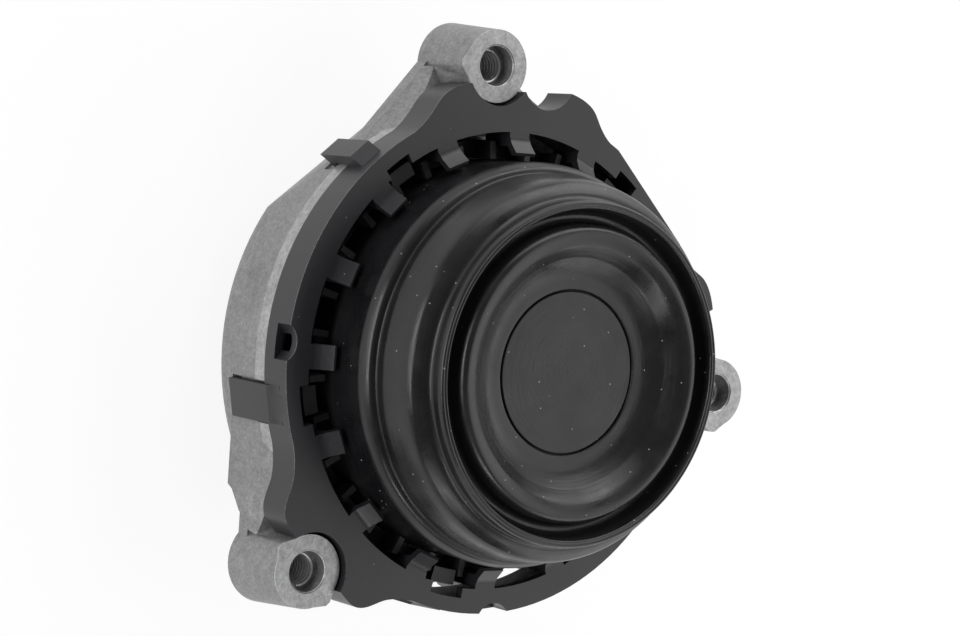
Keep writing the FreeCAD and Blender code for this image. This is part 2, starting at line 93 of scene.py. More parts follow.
# Threads, lengths in millimetres: radius of the wall that the ridge winds up, half the
# width of the ridge, number of turns, and height at which they begin
LUG_THREAD = {"wall": 5.0, "ridge": 0.74, "turns": 9.4, "foot": 32.6}
CORE_THREAD = {"wall": 6.0, "ridge": 0.86, "turns": 9.0, "foot": 0.9}

# Faces in one turn of a ridge, and corners of its section
THREAD_FACETS = 40
RIDGE_CORNERS = 4

# Where the casting was cut bright: the lug faces and the outside of the rim; and where a
# painted highlight is laid along the lug face edges just under them
LUG_FACE_HEIGHTS = (51.7 * MM, 53.0 * MM)
LUG_EDGE_HIGHLIGHT_HEIGHTS = (51.5 * MM, 51.75 * MM)
RIM_HEIGHTS = (36.7 * MM, 43.0 * MM)
RIM_RADII = (77.95 * MM, 78.6 * MM)

# Where a painted highlight lies along the retaining ring's top edge, outside its windows, broken up
# by noise so it looks worn
EDGE_HIGHLIGHT_HEIGHTS = (54.1 * MM, 54.4 * MM)
EDGE_HIGHLIGHT_RADII = (74.0 * MM, 110.0 * MM)
PLASTIC_EDGE_HIGHLIGHT = (0.2, 0.2, 0.2)

# Dust: cells to the metre, of which some hold a speck, and the colours of the specks
DUST_SCALE = 420.0
DUST_ON_PLASTIC = (0.22, 0.22, 0.21)
DUST_ON_RUBBER = (0.35, 0.35, 0.34)

# The noise textures lie mostly between these two values
NOISE_LOW = 0.3
NOISE_HIGH = 0.7

# Meshes: corners closer than the first distance are welded and edges shorter than the
# second are taken out; faces that meet flatter than the first angle become one, and edges
# sharper than the second are rounded, each in this many faces
WELD_DISTANCE = 0.002 * MM
SHORTEST_EDGE = 0.001 * MM
FLAT_ANGLE = math.radians(0.3)
SHARP_ANGLE = math.radians(38.0)
EDGE_SEGMENTS = 2

# Corners of the turned bellows closer than this are welded
SKIN_WELD_DISTANCE = 0.01 * MM


class MountSizes(bpy.types.PropertyGroup):
    """Fine sizes that the CAD model leaves out"""

    cast_edge: FloatProperty(
        name="Cast edge", description="Rounding of the casting's edges",
        default=0.5 * MM, min=0.0, unit="LENGTH", precision=5,
    )
    plastic_edge: FloatProperty(
        name="Plastic edge", description="Rounding of the moulded edges",
        default=0.35 * MM, min=0.0, unit="LENGTH", precision=5,
    )
    core_edge: FloatProperty(
        name="Core edge", description="Rounding of the core's edges",
        default=0.4 * MM, min=0.0, unit="LENGTH", precision=5,
    )
    lug_pitch: FloatProperty(
        name="Lug thread pitch", description="Rise of the lug threads in one turn",
        default=1.5 * MM, min=0.0, unit="LENGTH", precision=5,
    )
    core_pitch: FloatProperty(
        name="Core thread pitch", description="Rise of the core's thread in one turn",
        default=1.75 * MM, min=0.0, unit="LENGTH", precision=5,
    )
    bellows_facets: IntProperty(
        name="Bellows facets", description="Faces once round the bellows",
        default=BELLOWS_FACETS, min=24,
    )
    bellows_steps: IntProperty(
        name="Bellows steps", description="Faces between two points of the bellows' outline",
        default=BELLOWS_STEPS, min=1,
    )


def colour(name, description, value):
    """A colour that can be picked in the panel."""
    return FloatVectorProperty(
        name=name, description=description, default=value,
        subtype="COLOR", size=3, min=0.0, max=1.0,
    )


class MountColours(bpy.types.PropertyGroup):
    """Colours of the finishes"""

    cast: colour("Casting", "Aluminium as cast", (0.275, 0.275, 0.278))
    machined: colour("Machined", "Aluminium where it was cut", (0.375, 0.375, 0.378))
    # This colour also paints the highlight along the lug face edges
    thread: colour(
        "Lug threads", "Aluminium of the cut threads and worn edges", (0.8, 0.8, 0.8),
    )
    plastic: colour(
        "Retaining ring", "Moulded plastic of the retaining ring", (0.019, 0.0185, 0.0215),
    )
    clamp: colour("Clamp ring", "Moulded plastic of the clamp ring", (0.022, 0.022, 0.0235))
    bellows: colour("Bellows", "Rubber of the bellows", (0.0105, 0.0103, 0.0117))
    spring: colour("Spring", "Rubber of the spring", (0.012, 0.012, 0.012))
    plates: colour(
        "Plates", "Die-cast metal of the channel plates and the core", (0.5, 0.5, 0.51),
    )
    steel: colour(
        "Rings", "Plated steel of the bead ring and the support ring", (0.45, 0.45, 0.46),
    )
    floor: colour("Floor", "Studio floor", (0.86, 0.86, 0.86))


# Shader node helpers


def node(tree, kind, x, y, **values):
    """A new node at a place in the node editor, with its settings."""
    made = tree.nodes.new(kind)
    made.location = (x, y)
    for key, value in values.items():
        setattr(made, key, value)
    return made


def link(tree, source, target):
    """Joins an output to an input."""
    tree.links.new(source, target)


def combined(tree, operation, first, second, x, y):
    """The result of a math node fed by two outputs."""
    made = node(tree, "ShaderNodeMath", x, y, operation=operation)
    link(tree, first, made.inputs[0])
    link(tree, second, made.inputs[1])
    return made.outputs[0]


def flattened(tree, place, x, y):
    """A place without its height."""
    made = node(tree, "ShaderNodeVectorMath", x, y, operation="MULTIPLY")
    made.inputs[1].default_value = (1.0, 1.0, 0.0)
    link(tree, place, made.inputs[0])
    return made.outputs[0]


def length(tree, way, x, y):
    """The length of a vector."""
    made = node(tree, "ShaderNodeVectorMath", x, y, operation="LENGTH")
    link(tree, way, made.inputs[0])
    return made.outputs["Value"]


def group_tree(name, inputs, outputs):
    """A shader node group with named sockets; inputs are (name, socket type, default)."""
    tree = bpy.data.node_groups.new(name, "ShaderNodeTree")
    for label, kind, default in inputs:
        socket = tree.interface.new_socket(name=label, in_out="INPUT", socket_type=kind)
        if default is not None:
            socket.default_value = default
    for label, kind in outputs:
        tree.interface.new_socket(name=label, in_out="OUTPUT", socket_type=kind)
    start = node(tree, "NodeGroupInput", -900, 0)
    end = node(tree, "NodeGroupOutput", 900, 0)
    return tree, start, end


def mottling_group():
    """Soft cloudy variation in two sizes, as a value about 0.5."""
    if "Mottling" in bpy.data.node_groups:
        return bpy.data.node_groups["Mottling"]
    tree, start, end = group_tree(
        "Mottling",
        [
            ("Coordinate", "NodeSocketVector", None),
            ("Cloud Scale", "NodeSocketFloat", 60.0),
            ("Speck Scale", "NodeSocketFloat", 900.0),
            ("Speck Share", "NodeSocketFloat", 0.4),
        ],
        [("Value", "NodeSocketFloat")],
    )
    clouds = node(tree, "ShaderNodeTexNoise", -600, 150)
    clouds.inputs["Detail"].default_value = 4.0
    clouds.inputs["Roughness"].default_value = 0.6
    specks = node(tree, "ShaderNodeTexNoise", -600, -150)
    specks.inputs["Detail"].default_value = 2.0
    link(tree, start.outputs["Coordinate"], clouds.inputs["Vector"])
    link(tree, start.outputs["Coordinate"], specks.inputs["Vector"])
    link(tree, start.outputs["Cloud Scale"], clouds.inputs["Scale"])
    link(tree, start.outputs["Speck Scale"], specks.inputs["Scale"])
    mix = node(tree, "ShaderNodeMix", -200, 0, data_type="FLOAT")
    link(tree, start.outputs["Speck Share"], mix.inputs[0])
    link(tree, clouds.outputs[0], mix.inputs[2])
    link(tree, specks.outputs[0], mix.inputs[3])
    link(tree, mix.outputs[0], end.inputs["Value"])
    return tree


def dust_group():
    """Sparse pale specks, as a mask."""
    if "Dust" in bpy.data.node_groups:
        return bpy.data.node_groups["Dust"]
    tree, start, end = group_tree(
        "Dust",
        [
            ("Coordinate", "NodeSocketVector", None),
            ("Scale", "NodeSocketFloat", 260.0),
            ("Size", "NodeSocketFloat", 0.06),
            ("Share", "NodeSocketFloat", 0.1),
        ],
        [("Mask", "NodeSocketFloat")],
    )
    cells = node(tree, "ShaderNodeTexVoronoi", -600, 0)
    link(tree, start.outputs["Coordinate"], cells.inputs["Vector"])
    link(tree, start.outputs["Scale"], cells.inputs["Scale"])
    distance = cells.outputs["Distance"]
    near = combined(tree, "LESS_THAN", distance, start.outputs["Size"], -300, 100)
    pick = node(tree, "ShaderNodeSeparateColor", -300, -100)
    link(tree, cells.outputs["Color"], pick.inputs[0])
    few = combined(tree, "LESS_THAN", pick.outputs[0], start.outputs["Share"], -100, -100)
    link(tree, combined(tree, "MULTIPLY", near, few, 200, 0), end.inputs["Mask"])
    return tree


def grain_group():
    """A fine bumpy skin over a coarser unevenness, as a normal."""
    if "Grain" in bpy.data.node_groups:
        return bpy.data.node_groups["Grain"]
    tree, start, end = group_tree(
        "Grain",
        [
            ("Coordinate", "NodeSocketVector", None),
            ("Fine Scale", "NodeSocketFloat", 1800.0),
            ("Coarse Scale", "NodeSocketFloat", 250.0),
            ("Fine Height", "NodeSocketFloat", 0.02 * MM),
            ("Coarse Height", "NodeSocketFloat", 0.05 * MM),
            ("Strength", "NodeSocketFloat", 0.4),
        ],
        [("Normal", "NodeSocketVector")],
    )
    normal = None
    for label, x, y in (("Coarse", 0, 150), ("Fine", 400, -150)):
        noise = node(tree, "ShaderNodeTexNoise", -600, y)
        noise.inputs["Detail"].default_value = 3.0
        link(tree, start.outputs["Coordinate"], noise.inputs["Vector"])
        link(tree, start.outputs[label + " Scale"], noise.inputs["Scale"])
        bump = node(tree, "ShaderNodeBump", x, y)
        link(tree, noise.outputs[0], bump.inputs["Height"])
        link(tree, start.outputs[label + " Height"], bump.inputs["Distance"])
        link(tree, start.outputs["Strength"], bump.inputs["Strength"])
        if normal is not None:
            link(tree, normal, bump.inputs["Normal"])
        normal = bump.outputs[0]
    link(tree, normal, end.inputs["Normal"])
    return tree


def streak_group():
    """Fine streaks that run round the axis, as a value about 0.5."""
    if "Streaks" in bpy.data.node_groups:
        return bpy.data.node_groups["Streaks"]
    tree, start, end = group_tree(
        "Streaks",
        [
            ("Coordinate", "NodeSocketVector", None),
            ("Across", "NodeSocketFloat", 900.0),
            ("Along", "NodeSocketFloat", 14.0),
        ],
        [("Value", "NodeSocketFloat")],
    )
    split = node(tree, "ShaderNodeSeparateXYZ", -700, 200)
    link(tree, start.outputs["Coordinate"], split.inputs[0])
    flat = flattened(tree, start.outputs["Coordinate"], -700, -100)
    way = node(tree, "ShaderNodeVectorMath", -500, -250, operation="NORMALIZE")
    link(tree, flat, way.inputs[0])
    turn = node(tree, "ShaderNodeSeparateXYZ", -300, -250)
    link(tree, way.outputs[0], turn.inputs[0])
    spread = []
    for value, rate, y in (
        (length(tree, flat, -500, -50), "Across", 0),
        (turn.outputs["X"], "Along", -180),
        (turn.outputs["Y"], "Along", -360),
        (split.outputs["Z"], "Across", 200),
    ):
        spread.append(combined(tree, "MULTIPLY", value, start.outputs[rate], -50, y))
    place = node(tree, "ShaderNodeCombineXYZ", 200, 0)
    for count, value in enumerate(spread[:3]):
        link(tree, value, place.inputs[count])
    noise = node(tree, "ShaderNodeTexNoise", 450, 0, noise_dimensions="4D")
    noise.inputs["Scale"].default_value = 1.0
    noise.inputs["Detail"].default_value = 3.0
    noise.inputs["Roughness"].default_value = 0.65
    link(tree, place.outputs[0], noise.inputs["Vector"])
    link(tree, spread[3], noise.inputs["W"])
    link(tree, noise.outputs[0], end.inputs["Value"])
    return tree


def band_group():
    """1 where a value lies between From and To, with soft edges of the given width."""
    if "Band" in bpy.data.node_groups:
        return bpy.data.node_groups["Band"]
    tree, start, end = group_tree(
        "Band",
        [
            ("Value", "NodeSocketFloat", 0.0),
            ("From", "NodeSocketFloat", 0.0),
            ("To", "NodeSocketFloat", 1.0),
            ("Softness", "NodeSocketFloat", 0.2 * MM),
        ],
        [("Mask", "NodeSocketFloat")],
    )
    masks = []
    for first, second, y in (("Value", "From", 150), ("To", "Value", -150)):
        gap = combined(tree, "SUBTRACT", start.outputs[first], start.outputs[second], -600, y)
        scaled = combined(tree, "DIVIDE", gap, start.outputs["Softness"], -400, y)
        clamped = node(tree, "ShaderNodeClamp", -200, y)
        link(tree, scaled, clamped.inputs[0])
        masks.append(clamped.outputs[0])
    link(tree, combined(tree, "MULTIPLY", *masks, 200, 0), end.inputs["Mask"])
    return tree


class Finish:
    """A material with a Principled shader and the node groups placed round it."""

    def __init__(self, name, rgb, roughness, metallic=0.0):
        self.material = bpy.data.materials.new(name)
        self.material.use_nodes = True
        self.tree = self.material.node_tree
        self.tree.nodes.clear()
        out = node(self.tree, "ShaderNodeOutputMaterial", 1400, 0)
        self.shader = node(self.tree, "ShaderNodeBsdfPrincipled", 1100, 0)
        link(self.tree, self.shader.outputs[0], out.inputs[0])
        self.shader.inputs["Base Color"].default_value = (*rgb, 1.0)
        self.shader.inputs["Roughness"].default_value = roughness
        self.shader.inputs["Metallic"].default_value = metallic
        self.place = node(self.tree, "ShaderNodeTexCoord", -1600, 0).outputs["Object"]
        self.rgb = rgb
        self.roughness = roughness
        # Last output of each chain of nodes, None while the plain value still holds
        self.colour = None
        self.rough = None
        self.normal = None

    def group(self, tree, x, y, **values):
        """A node group in the object's own coordinates, with values for its sockets."""
        made = node(self.tree, "ShaderNodeGroup", x, y, node_tree=tree)
        if "Coordinate" in made.inputs:
            link(self.tree, self.place, made.inputs["Coordinate"])
        for key, value in values.items():
            made.inputs[key.replace("_", " ")].default_value = value
        return made

    def drive(self, label, output):
        """Feeds one of the shader's sockets and gives the output back."""
        link(self.tree, output, self.shader.inputs[label])
        return output

    def feed(self, output, plain, socket):
        """Feeds a socket with an output, or with the plain value where there is none."""
        if output is None:
            socket.default_value = plain
        else:
            link(self.tree, output, socket)

    def height(self):
        """Height of each spot above the core's seating face."""
        split = node(self.tree, "ShaderNodeSeparateXYZ", -1300, -300)
        link(self.tree, self.place, split.inputs[0])
        return split.outputs["Z"]

    def radius(self):
        """Distance of each spot from the axis."""
        return length(self.tree, flattened(self.tree, self.place, -1300, 300), -1100, 300)

    def band(self, value, low, high, softness, y=0):
        """1 where the value lies between low and high."""
        made = self.group(band_group(), -800, y, From=low, To=high, Softness=softness)
        link(self.tree, value, made.inputs["Value"])
        return made.outputs["Mask"]

    def both(self, first, second):
        """1 where both masks are."""
        return combined(self.tree, "MULTIPLY", first, second, -500, 0)

    def clouds(self, y=500, **values):
        """Soft cloudy variation, as a value."""
        return self.group(mottling_group(), -800, y, **values).outputs[0]

    def span(self, value, low, high, x, y):
        """Low to high as the noise goes through its range."""
        made = node(self.tree, "ShaderNodeMapRange", x, y)
        made.inputs["From Min"].default_value = NOISE_LOW
        made.inputs["From Max"].default_value = NOISE_HIGH
        made.inputs["To Min"].default_value = low
        made.inputs["To Max"].default_value = high
        link(self.tree, value, made.inputs["Value"])
        return made.outputs[0]

    def tint(self, mask, rgb):
        """Where the mask is 1 the colour is rgb."""
        mix = node(self.tree, "ShaderNodeMix", 300, 300, data_type="RGBA")
        link(self.tree, mask, mix.inputs[0])
        self.feed(self.colour, (*self.rgb, 1.0), mix.inputs[6])
        mix.inputs[7].default_value = (*rgb, 1.0)
        self.colour = self.drive("Base Color", mix.outputs[2])

    def shade(self, value, low, high):
        """Multiplies the colour by low to high as the noise goes through its range."""
        scale = node(self.tree, "ShaderNodeVectorMath", 500, 100, operation="SCALE")
        self.feed(self.colour, self.rgb, scale.inputs[0])
        link(self.tree, self.span(value, low, high, 300, 100), scale.inputs["Scale"])
        self.colour = self.drive("Base Color", scale.outputs[0])

    def roughen(self, value, low, high):
        """Roughness goes from low to high as the noise goes through its range."""
        self.rough = self.drive("Roughness", self.span(value, low, high, 500, -100))

    def evened(self, mask, roughness):
        """Where the mask is 1 the roughness is the one given."""
        mix = node(self.tree, "ShaderNodeMix", 800, -100, data_type="FLOAT")
        link(self.tree, mask, mix.inputs[0])
        self.feed(self.rough, self.roughness, mix.inputs[2])
        mix.inputs[3].default_value = roughness
        self.rough = self.drive("Roughness", mix.outputs[0])

    def dust(self, rgb, **values):
        """Pale specks of one colour; gives their mask back."""
        made = self.group(dust_group(), -200, 600, Scale=DUST_SCALE, **values)
        self.tint(made.outputs[0], rgb)
        return made.outputs[0]

    def grain(self, **values):
        """A fine bumpy skin."""
        made = self.group(grain_group(), 700, -400, **values)
        self.normal = self.drive("Normal", made.outputs[0])

    def ripple(self, value, height):
        """Raises the skin by up to the height where the value is 1, over the grain."""
        bump = node(self.tree, "ShaderNodeBump", 900, -600)
        bump.inputs["Distance"].default_value = height
        link(self.tree, value, bump.inputs["Height"])
        link(self.tree, self.normal, bump.inputs["Normal"])
        self.normal = self.drive("Normal", bump.outputs[0])


def cast_aluminium(colours):
    """As cast, with the lug faces and the rim cut bright, and a painted highlight along the lug
    face edges.
    """
    if "cast_aluminium" in bpy.data.materials:
        return bpy.data.materials["cast_aluminium"]
    finish = Finish("cast_aluminium", tuple(colours.cast), roughness=0.5, metallic=0.5)
    height = finish.height()
    faces = finish.band(height, *LUG_FACE_HEIGHTS, softness=0.25 * MM, y=200)
    rim_height = finish.band(height, *RIM_HEIGHTS, softness=0.3 * MM)
    rim_radius = finish.band(finish.radius(), *RIM_RADII, softness=0.2 * MM, y=-200)
    rim = finish.both(rim_height, rim_radius)
    for mask in (faces, rim):
        finish.tint(mask, tuple(colours.machined))
    # Painted highlight: a bright band in the thread colour along the lug face edges
    edges = finish.band(height, *LUG_EDGE_HIGHLIGHT_HEIGHTS, softness=0.1 * MM, y=-600)
    finish.tint(edges, tuple(colours.thread))
    clouds = finish.clouds(Cloud_Scale=55.0, Speck_Scale=330.0, Speck_Share=0.5)
    finish.shade(clouds, low=0.72, high=1.24)
    pits = finish.clouds(y=800, Cloud_Scale=900.0, Speck_Scale=2100.0, Speck_Share=0.4)
    finish.shade(pits, low=0.68, high=1.32)
    finish.roughen(clouds, low=0.38, high=0.6)
    for mask in (faces, rim):
        finish.evened(mask, roughness=0.36)
    finish.grain(
        Fine_Scale=1100.0, Fine_Height=0.1 * MM,
        Coarse_Scale=210.0, Coarse_Height=0.4 * MM, Strength=0.6,
    )
    return finish.material


def ring_plastic(colours):
    """Glass-filled plastic with a fine skin, a painted highlight along its top edge broken up like
    wear, and a little dust.
    """
    if "ring_plastic" in bpy.data.materials:
        return bpy.data.materials["ring_plastic"]
    finish = Finish("ring_plastic", tuple(colours.plastic), roughness=0.5)
    clouds = finish.clouds(Cloud_Scale=40.0, Speck_Scale=1600.0, Speck_Share=0.5)
    finish.shade(clouds, low=0.82, high=1.18)
    # Painted highlight: a pale line along the top edge outside the windows, broken up by the clouds
    top = finish.band(finish.height(), *EDGE_HIGHLIGHT_HEIGHTS, softness=0.1 * MM, y=-300)
    outer = finish.band(finish.radius(), *EDGE_HIGHLIGHT_RADII, softness=1.0 * MM, y=-500)
    broken = finish.band(clouds, low=0.44, high=1.0, softness=0.12, y=-700)
    finish.tint(finish.both(finish.both(top, outer), broken), PLASTIC_EDGE_HIGHLIGHT)
    finish.dust(DUST_ON_PLASTIC, Size=0.09, Share=0.05)
    finish.roughen(clouds, low=0.28, high=0.44)
    finish.grain(
        Fine_Scale=2200.0, Fine_Height=0.02 * MM,
        Coarse_Scale=220.0, Coarse_Height=0.08 * MM, Strength=0.35,
    )
    return finish.material


def plain_plastic(name, rgb):
    """Moulded plastic of the pieces further in."""
    if name in bpy.data.materials:
        return bpy.data.materials[name]
    finish = Finish(name, rgb, roughness=0.5)
    clouds = finish.clouds(Cloud_Scale=70.0, Speck_Scale=1500.0, Speck_Share=0.5)
    finish.shade(clouds, low=0.8, high=1.2)
    finish.roughen(clouds, low=0.42, high=0.6)
    finish.grain(
        Fine_Scale=2000.0, Fine_Height=0.02 * MM,
        Coarse_Scale=260.0, Coarse_Height=0.06 * MM, Strength=0.3,
    )
    return finish.material


def rubber(name, rgb, dusty):
    """Moulded rubber with a soft sheen, cloudy bloom, fine streaks and, if asked, dust."""
    if name in bpy.data.materials:
        return bpy.data.materials[name]
    finish = Finish(name, rgb, roughness=0.42)
    clouds = finish.clouds(Cloud_Scale=62.0, Speck_Scale=1300.0, Speck_Share=0.15)
    finish.shade(clouds, low=0.75, high=1.3)
    streaks = finish.group(streak_group(), -800, 200, Across=900.0, Along=2.5).outputs[0]
    finish.shade(streaks, low=0.87, high=1.16)
    finish.roughen(clouds, low=0.2, high=0.46)
    if dusty:
        specks = finish.dust(DUST_ON_RUBBER, Size=0.1, Share=0.16)
        finish.evened(specks, roughness=0.9)
    finish.grain(
        Fine_Scale=2600.0, Fine_Height=0.012 * MM,
        Coarse_Scale=320.0, Coarse_Height=0.03 * MM, Strength=0.3,
    )
    finish.ripple(streaks, height=0.08 * MM)
    return finish.material


def plain_metal(name, rgb):
    """Dull metal of the threads and of the pieces further in."""
    if name in bpy.data.materials:
        return bpy.data.materials[name]
    finish = Finish(name, rgb, roughness=0.42, metallic=0.85)
    clouds = finish.clouds(Cloud_Scale=90.0, Speck_Scale=1100.0, Speck_Share=0.4)
    finish.shade(clouds, low=0.82, high=1.12)
    finish.roughen(clouds, low=0.34, high=0.52)
    finish.grain(
        Fine_Scale=1700.0, Fine_Height=0.02 * MM,
        Coarse_Scale=240.0, Coarse_Height=0.05 * MM, Strength=0.3,
    )
    return finish.material


# Mesh helpers


def shown(name, mesh, material):
    """A new object at the origin, with one material."""
    made = bpy.data.objects.new(name, mesh)
    bpy.context.scene.collection.objects.link(made)
    made.data.materials.clear()
    made.data.materials.append(material)
    return made


def evaluated_mesh(obj):
    """The object's mesh with its modifiers, as plain data."""
    bpy.context.view_layer.update()
    graph = bpy.context.evaluated_depsgraph_get()
    return bpy.data.meshes.new_from_object(obj.evaluated_get(graph), depsgraph=graph)


def rounded_copy(source, name, radius, material):
    """A copy of a CAD node with its edges rounded."""
    mesh = bpy.data.meshes.new(name)
    work = bmesh.new()
    work.from_mesh(NODES[source].data)
    bmesh.ops.remove_doubles(work, verts=work.verts, dist=WELD_DISTANCE)
    bmesh.ops.dissolve_degenerate(work, edges=work.edges, dist=SHORTEST_EDGE)
    bmesh.ops.dissolve_limit(
        work, angle_limit=FLAT_ANGLE, use_dissolve_boundaries=False,
        verts=work.verts, edges=work.edges,
    )
    work.to_mesh(mesh)
    work.free()
    copy = shown(name, mesh, material)
    bevel = copy.modifiers.new("edges", "BEVEL")
    bevel.limit_method = "ANGLE"
    bevel.angle_limit = SHARP_ANGLE
    bevel.width = radius
    bevel.segments = EDGE_SEGMENTS
    bevel.use_clamp_overlap = True
    bevel.miter_outer = "MITER_ARC"
    level = copy.modifiers.new("normals", "WEIGHTED_NORMAL")
    level.mode = "FACE_AREA"
    level.weight = 100
    level.keep_sharp = True
    mesh.shade_smooth()
    mesh.set_sharp_from_angle(angle=SHARP_ANGLE)
    smooth = evaluated_mesh(copy)
    copy.modifiers.clear()
    copy.data = smooth
    smooth.name = name
    return copy


def dress(name, material):
    """A CAD node keeps its shape and gets a finish."""
    mesh = NODES[name].data
    mesh.materials.clear()
    mesh.materials.append(material)


# Geometry node trees


def geometry_tree(name, inputs):
    """A geometry node tree with named sockets; inputs are (name, socket type, default)."""
    tree = bpy.data.node_groups.new(name, "GeometryNodeTree")
    tree.is_modifier = True
    tree.interface.new_socket(name="Geometry", in_out="INPUT", socket_type="NodeSocketGeometry")
    for label, kind, default in inputs:
        socket = tree.interface.new_socket(name=label, in_out="INPUT", socket_type=kind)
        if default is not None:
            socket.default_value = default
    tree.interface.new_socket(name="Geometry", in_out="OUTPUT", socket_type="NodeSocketGeometry")
    start = node(tree, "NodeGroupInput", -900, 0)
    end = node(tree, "NodeGroupOutput", 1100, 0)
    return tree, start, end


def finish_tree(tree, geometry, start, end):
    """Every tree ends in Realize Instances and Set Material."""
    real = node(tree, "GeometryNodeRealizeInstances", 700, 0)
    paint = node(tree, "GeometryNodeSetMaterial", 900, 0)
    link(tree, geometry, real.inputs[0])
    link(tree, real.outputs[0], paint.inputs["Geometry"])
    link(tree, start.outputs["Material"], paint.inputs["Material"])
    link(tree, paint.outputs[0], end.inputs[0])


def turned_skin_tree():
    """Smooths an outline curve and turns it once round the axis."""
    if "Turned skin" in bpy.data.node_groups:
        return bpy.data.node_groups["Turned skin"]
    tree, start, end = geometry_tree(
        "Turned skin",
        [
            ("Facets", "NodeSocketInt", BELLOWS_FACETS),
            ("Steps", "NodeSocketInt", BELLOWS_STEPS),
            ("Path Radius", "NodeSocketFloat", PATH_RADIUS),
            ("Material", "NodeSocketMaterial", None),
        ],
    )
    smooth = node(tree, "GeometryNodeCurveSplineType", -600, 200, spline_type="CATMULL_ROM")
    fine = node(tree, "GeometryNodeSetSplineResolution", -450, 200)
    even = node(tree, "GeometryNodeResampleCurve", -300, 200, mode="EVALUATED")
    path = node(tree, "GeometryNodeCurvePrimitiveCircle", -300, -200)
    sweep = node(tree, "GeometryNodeCurveToMesh", 0, 0)
    weld = node(tree, "GeometryNodeMergeByDistance", 300, 0)
    weld.inputs["Distance"].default_value = SKIN_WELD_DISTANCE
    link(tree, start.outputs["Geometry"], smooth.inputs["Curve"])
    link(tree, smooth.outputs[0], fine.inputs[0])
    link(tree, start.outputs["Steps"], fine.inputs["Resolution"])
    link(tree, fine.outputs[0], even.inputs["Curve"])
    link(tree, start.outputs["Facets"], path.inputs["Resolution"])
    link(tree, start.outputs["Path Radius"], path.inputs["Radius"])
    link(tree, path.outputs[0], sweep.inputs["Curve"])
    link(tree, even.outputs[0], sweep.inputs["Profile Curve"])
    link(tree, sweep.outputs[0], weld.inputs["Geometry"])
    finish_tree(tree, weld.outputs[0], start, end)
    return tree


def thread_tree():
    """A ridge that winds up the wall of a hole; its section is a square on its corner."""
    if "Thread" in bpy.data.node_groups:
        return bpy.data.node_groups["Thread"]
    tree, start, end = geometry_tree(
        "Thread",
        [
            ("Wall Radius", "NodeSocketFloat", 5.0 * MM),
            ("Pitch", "NodeSocketFloat", 1.5 * MM),
            ("Turns", "NodeSocketFloat", 8.0),
            ("Ridge", "NodeSocketFloat", 0.8 * MM),
            ("Material", "NodeSocketMaterial", None),
        ],
    )
    turns = start.outputs["Turns"]
    height = combined(tree, "MULTIPLY", start.outputs["Pitch"], turns, -600, -200)
    spiral = node(tree, "GeometryNodeCurveSpiral", -300, 0)
    spiral.inputs["Resolution"].default_value = THREAD_FACETS
    link(tree, turns, spiral.inputs["Rotations"])
    link(tree, start.outputs["Wall Radius"], spiral.inputs["Start Radius"])
    link(tree, start.outputs["Wall Radius"], spiral.inputs["End Radius"])
    link(tree, height, spiral.inputs["Height"])
    upright = node(tree, "GeometryNodeSetCurveNormal", -100, 0, mode="Z_UP")
    section = node(tree, "GeometryNodeCurvePrimitiveCircle", -100, -300)
    section.inputs["Resolution"].default_value = RIDGE_CORNERS
    link(tree, start.outputs["Ridge"], section.inputs["Radius"])
    sweep = node(tree, "GeometryNodeCurveToMesh", 200, 0)
    sweep.inputs["Fill Caps"].default_value = True
    link(tree, spiral.outputs[0], upright.inputs["Curve"])
    link(tree, upright.outputs[0], sweep.inputs["Curve"])
    link(tree, section.outputs[0], sweep.inputs["Profile Curve"])
    finish_tree(tree, sweep.outputs[0], start, end)
    return tree


def grown(host, tree, values):
    """Runs a tree on a host object and returns the plain mesh; the host is removed."""
    modifier = host.modifiers.new(tree.name, "NODES")
    modifier.node_group = tree
    for item in tree.interface.items_tree:
        if item.item_type == "SOCKET" and item.in_out == "INPUT" and item.name in values:
            modifier[item.identifier] = values[item.name]
    mesh = evaluated_mesh(host)
    bpy.data.objects.remove(host)
    return mesh


def outline_host(name, points):
    """A curve in the XY plane: x is the radius less the path's, y the height downwards."""
    data = bpy.data.curves.new(name, "CURVE")
    data.dimensions = "3D"
    spline = data.splines.new("POLY")
    spline.points.add(len(points) - 1)
    for place, (r, z) in zip(spline.points, points):
        place.co = (r * MM - PATH_RADIUS, -z * MM, 0.0, 1.0)
    host = bpy.data.objects.new(name, data)
    bpy.context.scene.collection.objects.link(host)
    return host


def outward(mesh):
    """Welds a closed mesh and turns all its faces outwards."""
    work = bmesh.new()
    work.from_mesh(mesh)
    bmesh.ops.remove_doubles(work, verts=work.verts, dist=WELD_DISTANCE)
    bmesh.ops.recalc_face_normals(work, faces=work.faces)
    work.to_mesh(mesh)
    work.free()


def thread_ridge(name, thread, pitch, x, y, finish):
    """The ridge of a thread in a hole that stands at x and y."""
    host = bpy.data.objects.new("thread_host", bpy.data.meshes.new("thread_host"))
    bpy.context.scene.collection.objects.link(host)
    values = {
        "Wall Radius": thread["wall"] * MM, "Pitch": pitch, "Turns": thread["turns"],
        "Ridge": thread["ridge"] * MM, "Material": finish,
    }
    mesh = grown(host, thread_tree(), values)
    mesh.transform(Matrix.Translation((x, y, thread["foot"] * MM)))
    outward(mesh)
    return shown(name, mesh, finish)


# Operators, one for each piece or group of like pieces


class MOUNT_OT_casting(bpy.types.Operator):
    """Rounds the housing's edges and finishes it as a casting"""

    bl_idname = "mount.casting"
    bl_label = "Housing casting"

    def execute(self, context):
        sizes = context.scene.mount_sizes
        finish = cast_aluminium(context.scene.mount_colours)
        made = rounded_copy("housing_casting", "housing_casting_finished", sizes.cast_edge, finish)
        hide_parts("housing_casting")
        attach(made, "root")
        return {"FINISHED"}


